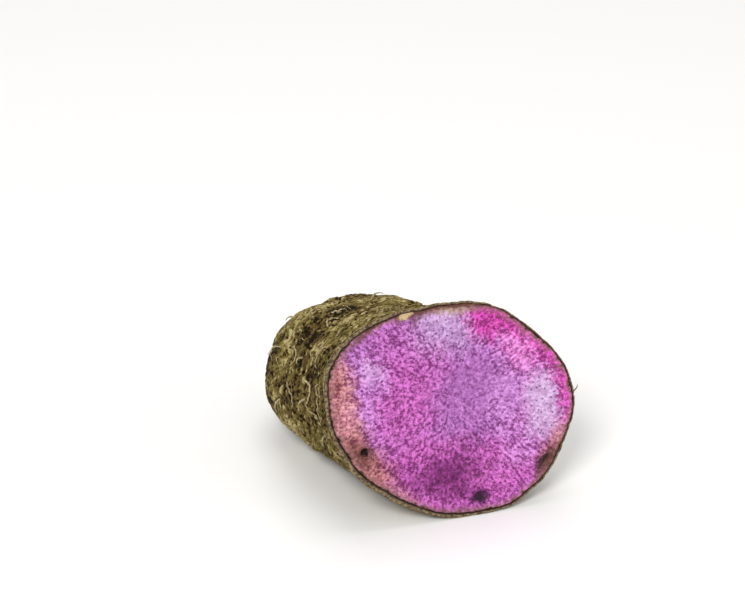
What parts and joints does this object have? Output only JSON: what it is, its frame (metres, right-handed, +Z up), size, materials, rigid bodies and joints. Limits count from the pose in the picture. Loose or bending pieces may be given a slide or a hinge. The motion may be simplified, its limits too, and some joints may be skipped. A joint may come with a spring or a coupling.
{
  "type": "purple yam",
  "caption": "Cut half of a purple yam lying on its side: rough corky brown skin with short roots, a flat cut across purple flesh, and a blunt far end.",
  "frame": {"origin": "on the surface that the yam lies on, under the middle of its bounding box", "axes": "+Z up, -Y the way the cut faces (it leans back 14 degrees), +X to the right as the cut is looked at; the body runs towards +Y and a little towards -X"},
  "size_m": [0.1162, 0.1209, 0.0897],
  "materials": {
    "skin": "matte",
    "flesh": "satin"
  },
  "bodies": {
    "root": {"yam_half": "skin"}
  },
  "joints": []
}
